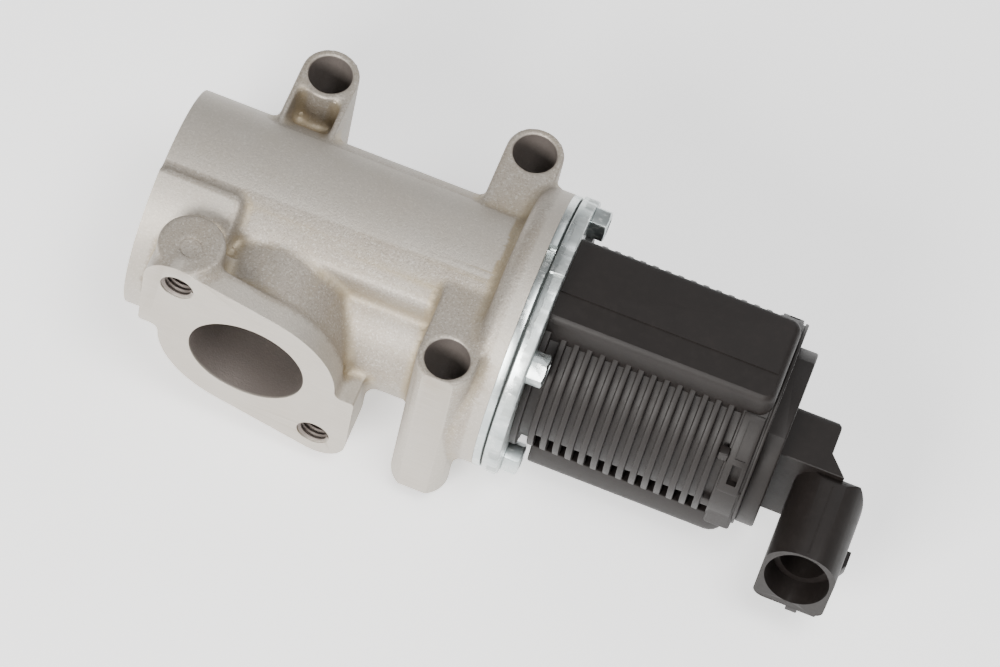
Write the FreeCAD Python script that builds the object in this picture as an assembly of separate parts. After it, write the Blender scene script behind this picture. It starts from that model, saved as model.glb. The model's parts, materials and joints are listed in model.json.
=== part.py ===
import FreeCAD, Part
import math
import os

# Exhaust gas recirculation valve with a solenoid actuator.
# Millimetres. +X runs along the valve's axis from the open gas outlet to the
# connector, the exhaust flange faces -Y, and the mounting bosses run along Z.
# The origin is the centre of the outlet's mouth.

V = FreeCAD.Vector

# Outlet tube and gas path
tube_radius = 25.2
outlet_bore_radius = 20.5
outlet_bore_length = 10.0
outlet_cone_length = 4.0
seat_web_thickness = 4.6
chamber_radius = 18.0
chamber_end = 58.0
groove_plane_y = -15.7
groove_round = 3.0
channel_radius = 16.2
channel_centre_y = -9.3
channel_centre_z = -1.5

# Raised pad round the front of the outlet end
pad_height = 1.9
pad_length = 20.8
pad_edge_y = -8.3
pad_round = 3.0
pad_bottom_z = -14.0
pad_edge_round = 1.5
pad_notch_radius = 1.3

# Exhaust flange and its neck
flange_face_y = -34.1
flange_plate_thickness = 6.0
port_x = 32.7
port_z = -0.6
port_radius = 14.0
collar_radius = 21.6
neck_radius = 20.9
neck_end_y = -10.0
lug_reach = 26.5
lug_height = 27.8
lug_corner_radius = 7.0
lug_foot = 1.0
lug_thickness = 12.7
lug_boss_radius = 7.8
lug_boss_inset = 0.2
lug_boss_drop = 0.3
thread_depth = 11.2
thread_offset_x = 18.45
thread_offset_z = 20.1
thread_radius = 4.0
ejector_mark_radius = 2.7
ejector_mark_depth = 0.3
ejector_mark_shift = 1.1

# Mounting bosses: centre x, centre y and top z of each
mount_plane_z = -28.5
boss_radius = 6.9
boss_bore_radius = 5.15
rear_left_boss = (25.1, 34.0, 18.9)
rear_right_boss = (76.0, 33.1, 20.1)
front_boss = (76.6, -28.1, 23.4)
arm_bottom_z = -10.0
arm_rail_width = 1.5
arm_pocket_floor_z = 7.6

# Joint between the casting and the actuator
housing_length = 88.2
joint_flange_radius = 33.1
joint_flange_thickness = 7.3
joint_flange_round = 3.5
heat_shield_thickness = 1.9
heat_shield_notch_width = 7.5
heat_shield_notch_depth = 3.2
gasket_thickness = 0.5
gasket_inset = 0.5
adapter_thickness = 3.6
adapter_overhang = 0.5
adapter_edge = 0.5
adapter_tab_width = 7.6
adapter_tab_height = 0.5
screw_offset = 20.8
screw_radius = 2.5
screw_hole_clearance = 0.2
screw_thread_length = 4.5
screw_drill_allowance = 0.5
screw_head_flats = 7.0
screw_head_height = 4.0
screw_head_chamfer = 0.4

# Stem, seat and guide
valve_lift = 5.0
stem_radius = 3.0
running_clearance = 0.04
seat_outer_radius = 15.0
seat_bore_radius = 11.4
seat_land = 1.0
head_radius = 13.2
head_rim = 1.6
head_thickness = 3.6
guide_web_thickness = 10.0
guide_bush_radius = 5.5
guide_bush_stand_out = 3.0
scraper_radius = 6.5
scraper_thickness = 1.0
spring_pocket_radius = 15.0

# Return spring and its retainer
spring_mean_radius = 9.2
spring_wire_radius = 0.95
spring_turns = 4.5
spring_length = 16.0
retainer_radius = 11.8
retainer_thickness = 1.6
retainer_hub_radius = 5.6
retainer_hub_length = 2.4
collet_large_radius = 4.4
collet_small_radius = 3.9
collet_length = 3.0
collet_split = 0.8

# Push rod and the solenoid
rod_radius = 2.5
rod_seal_radius = 7.0
rod_seal_length = 2.6
yoke_radius = 21.5
yoke_wall = 2.1
yoke_length = 44.8
yoke_end_thickness = 3.0
core_radius = 9.1
core_length = 17.8
front_bush_radius = 4.5
front_bush_length = 10.0
core_bore_clearance = 0.7
sleeve_wall = 0.8
bobbin_wall = 1.2
bobbin_flange = 1.6
coil_gap = 0.5
bobbin_radius = 18.9
winding_inset = 0.6
armature_gap = valve_lift + 0.6
armature_length = 20.0
armature_clearance = 0.06
rear_plate_thickness = 3.0
rear_bush_radius = 4.5
rear_bush_stand_out = 1.2
rod_rear_stand_out = 5.0

# Plastic shell of the actuator
shell_clearance = 0.1
shell_radius = 22.8
rib_radius = 24.4
rib_width = 1.55
rib_pitch = 3.106
rib_count = 14
first_rib = 4.75
shell_length = 54.8
end_ring_length = 7.0
base_radius = 25.5
base_thickness = 1.6
screw_scallop_clearance = 0.7
slot_top_z = -4.9
slot_bottom_z = -13.9
box_half_width = 11.7
box_top_z = 28.5
box_length = 53.8
box_round = 3.0
box_wall = 2.3
box_step_y = -4.1
box_step = 0.25
tray_half_width = 20.0
tray_top_z = -14.0
tray_bottom_z = -24.4
tray_start = 5.0
tray_length = 52.8
tray_round = 4.0
latch_front_y = -23.8
latch_top_z = 6.0
latch_bottom_z = -11.5
latch_margin = 0.6
strap_start = 0.6
strap_end = 5.6
strap_height = 0.5
strap_groove = 0.5
window_start = 2.2
window_end = 4.5
window_bottom_z = 8.0
window_top_z = 13.0
window_depth = 2.0

# End cap, connector block and connector shell
cap_radius = 21.3
cap_centre_z = -4.5
cap_flat_z = 14.0
cap_thickness = 4.4
cap_edge = 0.3
spigot_radius = 16.6
spigot_length = 4.6
spigot_wall = 1.8
slider_guide_radius = 3.2
slider_guide_stand_out = 1.4
seal_width = 1.2
seal_length = 1.7
block_length = 11.0
block_front_y = -10.4
block_rear_y = 3.7
block_height = 26.0
block_round = 2.4
brace_reach = 4.5
brace_run = 5.1
connector_centre_z = -6.2
connector_width = 17.0
connector_height = 24.8
connector_offset = 5.05
connector_mouth_y = -32.6
connector_overlap = 1.8
connector_top_round = 8.0
connector_bottom_round = 3.0
connector_back_round = 5.0
connector_wall = 0.9
socket_top_wall = 0.7
socket_height = 21.9
socket_depth = 19.0
socket_ledge_depth = 6.0
socket_ledge = 1.9
snap_length = 5.4
snap_height = 4.0
snap_stand_out = 1.0
snap_from_mouth = 5.8
snap_ramp = 1.8
key_width = 2.8
key_length = 4.0
key_drop = 1.9
key_shoulder_width = 4.3
key_shoulder_drop = 0.5
cavity_wall = 1.7

# Contact pins
pin_count = 5
pin_pitch = 3.0
pin_width = 1.5
pin_thickness = 0.8
pin_free_length = 8.0
pin_root_length = 2.0

# Position sensor
slider_radius = 1.5
slider_length = 10.4
slider_collar_radius = 2.2
slider_collar_length = 1.4
sensor_spring_mean_radius = 1.6
sensor_spring_wire_radius = 0.25
sensor_spring_turns = 5
board_thickness = 1.2
board_drop = 4.2
board_width = 5.4
cavity_front_wall = 2.2
cavity_rear_wall = 1.0
travel_pocket_wall = 1.4
wiper_thickness = 0.4
wiper_width = 3.0
wiper_clearance = 0.3

# Places that follow from the sizes above
seat_web_start = outlet_bore_length + outlet_cone_length
seat_web_end = seat_web_start + seat_web_thickness
guide_web_end = chamber_end + guide_web_thickness
joint_flange_start = housing_length - joint_flange_thickness
gasket_start = housing_length + heat_shield_thickness
adapter_start = gasket_start + gasket_thickness
actuator_start = adapter_start + adapter_thickness
yoke_end = actuator_start + yoke_length
core_end = actuator_start + core_length
armature_start = core_end + armature_gap
armature_end = armature_start + armature_length
rear_plate_end = yoke_end + rear_plate_thickness
shell_end = actuator_start + shell_length
end_ring_start = shell_end - end_ring_length
rod_start = housing_length + heat_shield_thickness
rod_end = rear_plate_end + rod_rear_stand_out
retainer_start = guide_web_end + spring_length
cap_end = shell_end + cap_thickness
block_end = cap_end + block_length
connector_x = cap_end + connector_offset + connector_width / 2
block_bottom_z = connector_centre_z - block_height / 2
block_top_z = connector_centre_z + block_height / 2
connector_bottom_z = connector_centre_z - connector_height / 2
connector_top_z = connector_centre_z + connector_height / 2
socket_centre_z = connector_top_z - socket_top_wall - socket_height / 2
socket_floor_y = connector_mouth_y + socket_depth
sleeve_radius = core_radius + sleeve_wall
seat_start = seat_web_start
head_seat_radius = seat_bore_radius + seat_land


def cyl_x(radius, start, end, y=0.0, z=0.0):
    return Part.makeCylinder(radius, end - start, V(start, y, z), V(1, 0, 0))


def cyl_y(radius, start, end, x=0.0, z=0.0):
    return Part.makeCylinder(radius, end - start, V(x, start, z), V(0, 1, 0))


def cyl_z(radius, start, end, x=0.0, y=0.0):
    return Part.makeCylinder(radius, end - start, V(x, y, start), V(0, 0, 1))


def cone_x(start_radius, end_radius, start, end):
    return Part.makeCone(start_radius, end_radius, end - start, V(start, 0, 0), V(1, 0, 0))


def ring_x(outer, inner, start, end, y=0.0, z=0.0):
    return cyl_x(outer, start, end, y, z).cut(cyl_x(inner, start, end, y, z))


def block(x, y, z):
    corner = V(x[0], y[0], z[0])
    return Part.makeBox(x[1] - x[0], y[1] - y[0], z[1] - z[0], corner)


def edges_along(shape, direction):
    chosen = []
    for edge in shape.Edges:
        span = edge.Vertexes[-1].Point - edge.Vertexes[0].Point
        if span.Length > 1e-6 and abs(span.normalize().dot(direction)) > 0.999:
            chosen.append(edge)
    return chosen


def edges_near(shape, low, high):
    """Edges whose whole box lies between two corners."""
    chosen = []
    for edge in shape.Edges:
        box = edge.BoundBox
        if (low.x <= box.XMin and box.XMax <= high.x and low.y <= box.YMin
                and box.YMax <= high.y and low.z <= box.ZMin and box.ZMax <= high.z):
            chosen.append(edge)
    return chosen


def rounded_block(x, y, z, radius, direction):
    body = block(x, y, z)
    return body.makeFillet(radius, edges_along(body, direction))


def extrude_y(wire, start, end):
    face = Part.Face(wire)
    face.translate(V(0, start - wire.BoundBox.YMin, 0))
    return face.extrude(V(0, end - start, 0))


def spring_x(mean_radius, wire_radius, turns, start, end):
    """Round-wire spring along X whose wire lies wholly between start and end."""
    rise = end - start - 2 * wire_radius
    helix = Part.makeLongHelix(rise / turns, rise, mean_radius)
    profile = Part.Wire(Part.makeCircle(wire_radius, V(mean_radius, 0, 0), V(0, 1, 0)))
    coil = helix.makePipeShell([profile], True, True)
    coil.rotate(V(0, 0, 0), V(0, 1, 0), 90)
    coil.translate(V(start + wire_radius, 0, 0))
    return coil


def four_ways():
    return [(sy * screw_offset, sz * screw_offset) for sy in (-1, 1) for sz in (-1, 1)]


def save(name, shape):
    shape.exportStep("parts/%s.step" % name)
    print(name, len(shape.Solids), "solids", round(shape.Volume, 1), shape.isValid())


def turned_about_port(shape):
    other = shape.copy()
    other.rotate(V(port_x, 0, port_z), V(0, 1, 0), 180)
    return other


# Exhaust flange

def lug_outline():
    """One lug of the flange: straight side, round corner, line tangent to the collar."""
    corner = V(-lug_reach + lug_corner_radius, 0, lug_height - lug_corner_radius)
    distance = corner.Length
    towards = math.atan2(corner.z, corner.x)
    lean = math.acos((collar_radius - lug_corner_radius) / distance)
    normal = V(math.cos(towards - lean), 0, math.sin(towards - lean))
    side_top = V(-lug_reach, 0, corner.z)
    half_way = (math.pi + towards - lean) / 2
    arc_middle = corner + V(math.cos(half_way), 0, math.sin(half_way)) * lug_corner_radius
    arc_end = corner + normal * lug_corner_radius
    tangent = normal * collar_radius
    foot = V(-lug_reach, 0, lug_foot)
    inner = V(0, 0, lug_foot)
    edges = [
        Part.makeLine(foot, side_top),
        Part.Arc(side_top, arc_middle, arc_end).toShape(),
        Part.makeLine(arc_end, tangent),
        Part.makeLine(tangent, inner),
        Part.makeLine(inner, foot),
    ]
    wire = Part.Wire(edges)
    wire.translate(V(port_x, 0, port_z))
    return wire


def exhaust_flange():
    plate_back = flange_face_y + flange_plate_thickness
    lug_back = flange_face_y + lug_thickness
    plate_lug = extrude_y(lug_outline(), flange_face_y, plate_back)
    deep_lug = extrude_y(lug_outline(), flange_face_y, lug_back)
    pillar_x = port_x - lug_reach + lug_boss_radius + lug_boss_inset
    pillar_y = flange_face_y + lug_boss_radius
    pillar_top = port_z + lug_height - lug_boss_drop
    pillar = cyl_z(lug_boss_radius, port_z + lug_foot, pillar_top, pillar_x, pillar_y)
    pillar = pillar.fuse(block(
        (pillar_x, pillar_x + lug_boss_radius),
        (flange_face_y, -tube_radius + 4),
        (port_z + lug_foot, port_z + thread_offset_z)))
    mark = cyl_z(ejector_mark_radius, pillar_top - ejector_mark_depth, pillar_top + 1,
                 pillar_x, pillar_y - ejector_mark_shift)
    deep_far_lug = turned_about_port(deep_lug)
    body = cyl_y(collar_radius, flange_face_y, plate_back, port_x, port_z)
    body = body.fuse([plate_lug, turned_about_port(plate_lug), deep_far_lug, pillar])
    body = body.fuse(cyl_y(neck_radius, flange_face_y, neck_end_y, port_x, port_z))
    return body.cut(mark)


def flange_holes():
    """Gas port and the two threaded holes."""
    shallow_end = -seat_outer_radius - 0.8
    port = cyl_y(port_radius, flange_face_y - 1, shallow_end, port_x, port_z)
    deep = cyl_y(port_radius, flange_face_y - 1, 0, port_x, port_z)
    deep = deep.common(block((seat_web_end, chamber_end), (flange_face_y - 1, 0),
                             (-tube_radius, tube_radius)))
    holes = [port, deep]
    for side in (-1, 1):
        x = port_x + side * thread_offset_x
        z = port_z - side * thread_offset_z
        holes.append(cyl_y(thread_radius, flange_face_y - 1, flange_face_y + thread_depth, x, z))
    return holes


# Mounting bosses

def boss(place):
    x, y, top = place
    return cyl_z(boss_radius, mount_plane_z, top, x, y)


def solid_arm(place):
    x, y, top = place
    reach = (min(0, y), max(0, y))
    return block((x - boss_radius, x + boss_radius), reach, (arm_bottom_z, top))


def railed_arm(place):
    """Arm with two thin rails and an open pocket between them."""
    x, y, top = place
    arm = solid_arm(place)
    half = boss_radius - arm_rail_width
    pocket = block((x - half, x + half), (0, y), (arm_pocket_floor_z, top + 1))
    return arm.cut(pocket)


def boss_bores():
    bores = []
    for x, y, top in (rear_left_boss, rear_right_boss, front_boss):
        bores.append(cyl_z(boss_bore_radius, mount_plane_z - 1, top + 1, x, y))
    return bores


# Casting

def outlet_tube():
    tube = cyl_x(tube_radius, 0, joint_flange_start + 1)
    groove = block((pad_length, joint_flange_start + 2),
                   (-2 * tube_radius, groove_plane_y),
                   (channel_centre_z, 2 * tube_radius))
    tube = tube.cut(groove)
    rim_z = math.sqrt(tube_radius ** 2 - groove_plane_y ** 2)
    top_edge = edges_near(tube,
                          V(pad_length - 1, groove_plane_y - 1, rim_z - 1),
                          V(joint_flange_start + 2, groove_plane_y + 1, rim_z + 1))
    tube = tube.makeFillet(groove_round, top_edge)
    channel = cyl_x(channel_radius, pad_length, joint_flange_start + 1,
                    channel_centre_y, channel_centre_z)
    return tube.fuse(channel)


def outlet_pad():
    outer = tube_radius + pad_height
    pad = cyl_x(outer, 0, pad_length)
    window = rounded_block((-pad_round, pad_length), (-outer - pad_round - 1, pad_edge_y),
                           (pad_bottom_z, outer + 1), pad_round, V(0, 0, 1))
    pad = pad.common(window)
    rim = []
    for edge in pad.Edges:
        reach = [math.hypot(vertex.Y, vertex.Z) for vertex in edge.Vertexes]
        inside = edge.BoundBox.XMax > 1 and edge.BoundBox.ZMin > pad_bottom_z + 0.1
        if min(reach) > outer - 0.01 and (inside or edge.BoundBox.XMin > 1):
            rim.append(edge)
    pad = pad.makeFillet(pad_edge_round, rim)
    notch = cyl_z(pad_notch_radius, 0, outer + 1, 0, pad_edge_y)
    return pad.cut(notch)


def casting_cavity():
    """Everything the gas, the stem and the spring need inside the casting."""
    outlet = cyl_x(outlet_bore_radius, -1, outlet_bore_length)
    throat = cone_x(outlet_bore_radius, seat_outer_radius + 1.5,
                    outlet_bore_length, seat_web_start)
    seat_pocket = cyl_x(seat_outer_radius, seat_web_start - 0.5, seat_web_end + 0.5)
    chamber = cyl_x(chamber_radius, seat_web_end, chamber_end)
    scraper_pocket = cyl_x(scraper_radius, chamber_end - 0.5, chamber_end + scraper_thickness)
    guide_bore = cyl_x(guide_bush_radius, chamber_end, guide_web_end + 1)
    spring_pocket = cyl_x(spring_pocket_radius, guide_web_end, housing_length + 1)
    return [outlet, throat, seat_pocket, chamber, scraper_pocket, guide_bore, spring_pocket]


def make_valve_housing():
    joint = cyl_x(joint_flange_radius, joint_flange_start, housing_length)
    left_rim = edges_near(joint,
                          V(joint_flange_start - 0.1, -99, -99),
                          V(joint_flange_start + 0.1, 99, 99))
    joint = joint.makeFillet(joint_flange_round, left_rim)
    body = outlet_tube().fuse([outlet_pad(), joint, exhaust_flange()])
    body = body.fuse([
        boss(rear_left_boss), railed_arm(rear_left_boss),
        boss(rear_right_boss), solid_arm(rear_right_boss),
        boss(front_boss), solid_arm(front_boss),
    ])
    cuts = casting_cavity() + flange_holes() + boss_bores()
    for y, z in four_ways():
        cuts.append(cyl_x(screw_radius, housing_length - screw_thread_length - screw_drill_allowance,
                          housing_length + 1, y, z))
    body = body.cut(cuts)
    return body.removeSplitter()


# Pieces of the joint

def make_heat_shield_plate():
    plate = ring_x(joint_flange_radius, spring_pocket_radius - 2,
                   housing_length, gasket_start)
    half = heat_shield_notch_width / 2
    notch = block((housing_length - 1, gasket_start + 1), (-half, half),
                  (joint_flange_radius - heat_shield_notch_depth, joint_flange_radius + 1))
    return plate.cut([notch] + screw_holes(housing_length, gasket_start))


def screw_holes(start, end):
    radius = screw_radius + screw_hole_clearance
    return [cyl_x(radius, start - 1, end + 1, y, z) for y, z in four_ways()]


def make_joint_gasket():
    gasket = ring_x(joint_flange_radius - gasket_inset, spring_pocket_radius,
                    gasket_start, adapter_start)
    return gasket.cut(screw_holes(gasket_start, adapter_start))


def make_adapter_plate():
    plate = cyl_x(joint_flange_radius + adapter_overhang, adapter_start, actuator_start)
    plate = plate.makeChamfer(adapter_edge, plate.Edges)
    tab_top = joint_flange_radius + adapter_overhang + adapter_tab_height
    tab = cyl_x(tab_top, adapter_start, actuator_start)
    half = adapter_tab_width / 2
    tab = tab.common(block((adapter_start, actuator_start), (-half, half),
                           (joint_flange_radius - 2 * adapter_edge, tab_top + 1)))
    plate = plate.fuse(tab)
    seal_pocket = cyl_x(rod_seal_radius, adapter_start - 1, adapter_start + rod_seal_length)
    rod_hole = cyl_x(rod_radius + core_bore_clearance, adapter_start - 1, actuator_start + 1)
    return plate.cut([seal_pocket, rod_hole] + screw_holes(adapter_start, actuator_start))


def make_joint_screws():
    screws = []
    for y, z in four_ways():
        corner = screw_head_flats / 2 / math.cos(math.radians(30))
        points = []
        for step in range(7):
            turn = math.radians(60 * step + 30)
            points.append(V(actuator_start, y + corner * math.cos(turn),
                            z + corner * math.sin(turn)))
        head = Part.Face(Part.makePolygon(points)).extrude(V(screw_head_height, 0, 0))
        cap = cone_x(corner + screw_head_chamfer * 2, corner - screw_head_chamfer,
                     actuator_start, actuator_start + screw_head_height)
        cap.translate(V(0, y, z))
        shank = cyl_x(screw_radius, housing_length - screw_thread_length,
                      actuator_start + 0.5, y, z)
        screws.append(head.common(cap).fuse(shank))
    return Part.makeCompound(screws)


# Pieces of the valve

def make_valve_seat_ring():
    ring = ring_x(seat_outer_radius, seat_bore_radius, seat_start, seat_web_end)
    taper = cone_x(head_seat_radius, seat_bore_radius - 0.01,
                   seat_start, seat_start + seat_land)
    return ring.cut(taper)


def make_valve_head():
    """Poppet whose cone meets the seat's taper when the valve is shut."""
    rim_start = seat_start - head_thickness
    rim = cyl_x(head_radius, rim_start, rim_start + head_rim)
    slope = head_radius - head_seat_radius
    shoulder = cone_x(head_radius, head_seat_radius, rim_start + head_rim, seat_start)
    gap = running_clearance
    plug = cone_x(head_seat_radius - gap, seat_bore_radius - gap,
                  seat_start, seat_start + seat_land)
    neck = cone_x(seat_bore_radius - 2 * slope, stem_radius + 1.0,
                  seat_start + seat_land, seat_start + seat_land + 3.0)
    dish = cone_x(head_radius * 0.7, head_radius * 0.5, rim_start - 0.01, rim_start + 0.8)
    head = rim.fuse([shoulder, plug, neck]).cut(dish)
    return head.cut(cyl_x(stem_radius, rim_start - 1, seat_web_end + 4))


def make_valve_stem():
    stem = cyl_x(stem_radius, seat_start - head_thickness, rod_start)
    end_groove = ring_x(stem_radius + 1, stem_radius - 0.5,
                        retainer_start + 0.2, retainer_start + 1.0)
    return stem.cut(end_groove)


def make_stem_guide_bush():
    return ring_x(guide_bush_radius, stem_radius + running_clearance,
                  chamber_end + scraper_thickness, guide_web_end + guide_bush_stand_out)


def make_stem_scraper():
    return ring_x(scraper_radius, stem_radius + running_clearance,
                  chamber_end, chamber_end + scraper_thickness)


def make_return_spring():
    return spring_x(spring_mean_radius, spring_wire_radius, spring_turns,
                    guide_web_end, retainer_start)


def make_spring_retainer():
    plate = cyl_x(retainer_radius, retainer_start, retainer_start + retainer_thickness)
    hub = cyl_x(retainer_hub_radius, retainer_start,
                retainer_start + retainer_thickness + retainer_hub_length - 0.4)
    guide = cyl_x(spring_mean_radius - spring_wire_radius - 0.4,
                  retainer_start - 1.0, retainer_start)
    socket_end = retainer_start - 0.8 + collet_length + 0.01
    socket = cone_x(collet_small_radius, collet_large_radius,
                    socket_end - collet_length - 0.4, socket_end)
    clear = cyl_x(collet_large_radius, socket_end - 0.01, socket_end + 9)
    opening = cyl_x(stem_radius + 0.3, retainer_start - 2, retainer_start + 5)
    return plate.fuse([hub, guide]).cut([socket, clear, opening])


def make_retainer_clip():
    """Two half collets that grip the stem's groove."""
    start = retainer_start - 0.8
    cone = cone_x(collet_small_radius, collet_large_radius - 0.05, start, start + collet_length)
    cone = cone.cut(cyl_x(stem_radius, start - 1, start + collet_length + 1))
    bead = ring_x(stem_radius + 0.2, stem_radius - 0.5,
                  retainer_start + 0.2, retainer_start + 1.0)
    cone = cone.fuse(bead)
    return cone.cut(block((start - 1, start + collet_length + 1),
                          (-collet_split / 2, collet_split / 2), (-9, 9)))


# Pieces of the solenoid

def make_rod_seal():
    lip = ring_x(rod_seal_radius, rod_radius + running_clearance,
                 adapter_start, adapter_start + rod_seal_length)
    hollow = ring_x(rod_seal_radius - 1.2, rod_radius + 1.2,
                    adapter_start - 0.01, adapter_start + 1.4)
    return lip.cut(hollow)


def make_solenoid_yoke():
    yoke = cyl_x(yoke_radius, actuator_start, yoke_end)
    hollow = cyl_x(yoke_radius - yoke_wall, actuator_start + yoke_end_thickness, yoke_end + 1)
    hole = cyl_x(core_radius, actuator_start - 1, actuator_start + yoke_end_thickness + 1)
    return yoke.cut([hollow, hole])


def make_pole_core():
    core = cyl_x(core_radius, actuator_start, core_end)
    mouth = cone_x(core_radius - 3.4, core_radius - 1.4, core_end - 3.0, core_end + 0.01)
    bush_bore = cyl_x(front_bush_radius, actuator_start - 1,
                      actuator_start + front_bush_length)
    rod_bore = cyl_x(rod_radius + core_bore_clearance, actuator_start - 1, core_end + 1)
    return core.cut([mouth, bush_bore, rod_bore])


def make_front_bush():
    return ring_x(front_bush_radius, rod_radius + running_clearance,
                  actuator_start, actuator_start + front_bush_length)


def make_armature_sleeve():
    return ring_x(sleeve_radius, core_radius,
                  actuator_start + yoke_end_thickness, yoke_end)


def bobbin_span():
    start = actuator_start + yoke_end_thickness
    return start, yoke_end


def make_coil_bobbin():
    start, end = bobbin_span()
    tube = cyl_x(sleeve_radius + bobbin_wall, start, end)
    front = cyl_x(bobbin_radius, start, start + bobbin_flange)
    rear = cyl_x(bobbin_radius, end - bobbin_flange, end)
    return tube.fuse([front, rear]).cut(cyl_x(sleeve_radius, start - 1, end + 1))


def make_coil_winding():
    start, end = bobbin_span()
    return ring_x(bobbin_radius - winding_inset, sleeve_radius + bobbin_wall,
                  start + bobbin_flange, end - bobbin_flange)


def make_armature():
    body = cyl_x(core_radius - armature_clearance, armature_start, armature_end)
    nose = cone_x(core_radius - 2.2, core_radius - armature_clearance,
                  armature_start - 0.01, armature_start + 1.6)
    shell = cyl_x(core_radius, armature_start - 0.01, armature_start + 1.6)
    body = body.cut(shell.cut(nose))
    for side in (-1, 1):
        vent = cyl_x(1.0, armature_start - 1, armature_end + 1, side * (core_radius - 2.8), 0)
        body = body.cut(vent)
    return body.cut(cyl_x(rod_radius, armature_start - 1, armature_end + 1))


def make_push_rod():
    return cyl_x(rod_radius, rod_start, rod_end)


def make_rear_plate():
    return ring_x(yoke_radius, rear_bush_radius, yoke_end, rear_plate_end)


def make_rear_bush():
    return ring_x(rear_bush_radius, rod_radius + running_clearance,
                  yoke_end, rear_plate_end + rear_bush_stand_out)


# Plastic shell

def rib_cage():
    cage = cyl_x(shell_radius, actuator_start, shell_end)
    cage = cage.fuse(cyl_x(rib_radius, end_ring_start, shell_end))
    slots = []
    for number in range(rib_count):
        centre = actuator_start + first_rib + number * rib_pitch
        start = centre - rib_width / 2
        cage = cage.fuse(cyl_x(rib_radius, start, start + rib_width))
        if number < rib_count - 1:
            slots.append(block((start + rib_width, start + rib_pitch),
                               (-tube_radius - 5, tube_radius + 5),
                               (slot_bottom_z, slot_top_z)))
    return cage, slots


def shell_box():
    """Raised box along the top, with its end and its long edges rounded."""
    box = block((actuator_start, actuator_start + box_length),
                (-box_half_width, box_half_width), (0, box_top_z))
    step = block((actuator_start - 1, actuator_start + box_length + 1),
                 (-box_half_width - 1, box_step_y), (box_top_z - box_step, box_top_z + 1))
    end = actuator_start + box_length
    upright = edges_near(box, V(end - 0.1, -99, -0.1), V(end + 0.1, 99, 99))
    upright = [edge for edge in upright if edge.BoundBox.ZLength > 1]
    box = box.makeFillet(box_round, upright)
    top_edges = edges_near(box, V(actuator_start + 0.5, -99, box_top_z - 0.1),
                           V(end + 0.1, 99, box_top_z + 0.1))
    long_edges = edges_near(box, V(actuator_start - 0.1, -99, box_top_z - 0.1),
                            V(end + 0.1, 99, box_top_z + 0.1))
    long_edges = [edge for edge in long_edges if edge.BoundBox.XLength > 0.5 * box_length]
    rim = top_edges + [e for e in long_edges if not any(e.isSame(t) for t in top_edges)]
    return box.makeFillet(box_round * 0.8, rim).cut(step)


def shell_tray():
    """Lower tray, with its end and its long edges rounded."""
    start = actuator_start + tray_start
    tray = block((start, start + tray_length - tray_start),
                 (-tray_half_width, tray_half_width), (tray_bottom_z, tray_top_z))
    end_x = tray.BoundBox.XMax
    rounded = [edge for edge in tray.Edges
               if edge.BoundBox.XMax > end_x - 0.1 and edge.BoundBox.ZMin < tray_top_z - 0.1]
    return tray.makeFillet(tray_round, rounded)


def side_span(side, near, far):
    """Low and high Y of a span that lies on one side of the axis."""
    return tuple(sorted((side * near, side * far)))


def latch(side):
    """Snap block on the end ring and the strap that runs from it up to the box."""
    reach = side_span(side, box_half_width, -latch_front_y)
    nose = block((end_ring_start, shell_end - latch_margin), reach,
                 (latch_bottom_z, latch_top_z))
    strap = cyl_x(rib_radius + strap_height, end_ring_start + strap_start,
                  end_ring_start + strap_end)
    quarter = block((end_ring_start, shell_end), side_span(side, box_half_width, rib_radius + 1),
                    (0, rib_radius + 1))
    return nose.fuse(strap.common(quarter))


def latch_cuts(side):
    """Window in the strap."""
    return block((end_ring_start + window_start, end_ring_start + window_end),
                 side_span(side, box_half_width, rib_radius + 1),
                 (window_bottom_z, window_top_z)).cut(
        cyl_x(rib_radius - window_depth, end_ring_start, shell_end))


def make_actuator_housing():
    cage, slots = rib_cage()
    body = cage.fuse([shell_box(), shell_tray(), latch(-1), latch(1),
                      cyl_x(base_radius, actuator_start, actuator_start + base_thickness)])
    inner = yoke_radius + shell_clearance
    cuts = slots + [
        cyl_x(inner, actuator_start - 1, rear_plate_end),
        cyl_x(spigot_radius + shell_clearance, rear_plate_end - 1, shell_end + 1,
              0, cap_centre_z),
        cyl_x(spigot_radius + seal_width, shell_end - seal_length, shell_end + 1,
              0, cap_centre_z),
        block((actuator_start + box_wall, end_ring_start - 1),
              (box_wall - box_half_width, box_half_width - box_wall),
              (yoke_radius / 2, box_top_z - box_wall)),
    ]
    corner = screw_head_flats / 2 / math.cos(math.radians(30)) + screw_scallop_clearance
    for y, z in four_ways():
        cuts.append(cyl_x(corner, actuator_start - 1,
                          actuator_start + screw_head_height + 1, y, z))
    cuts += [latch_cuts(-1), latch_cuts(1)]
    groove = ring_x(rib_radius + 1, rib_radius - strap_groove,
                    end_ring_start + strap_end + 0.1, end_ring_start + strap_end + 0.1 + strap_groove)
    above = block((end_ring_start, shell_end), (-rib_radius - 1, rib_radius + 1),
                  (latch_top_z, rib_radius + 1))
    beside = block((end_ring_start, shell_end), (-box_half_width, box_half_width),
                   (latch_top_z, rib_radius + 1))
    cuts.append(groove.common(above).cut(beside))
    return body.cut(cuts).removeSplitter()


# End cap with the connector

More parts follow.
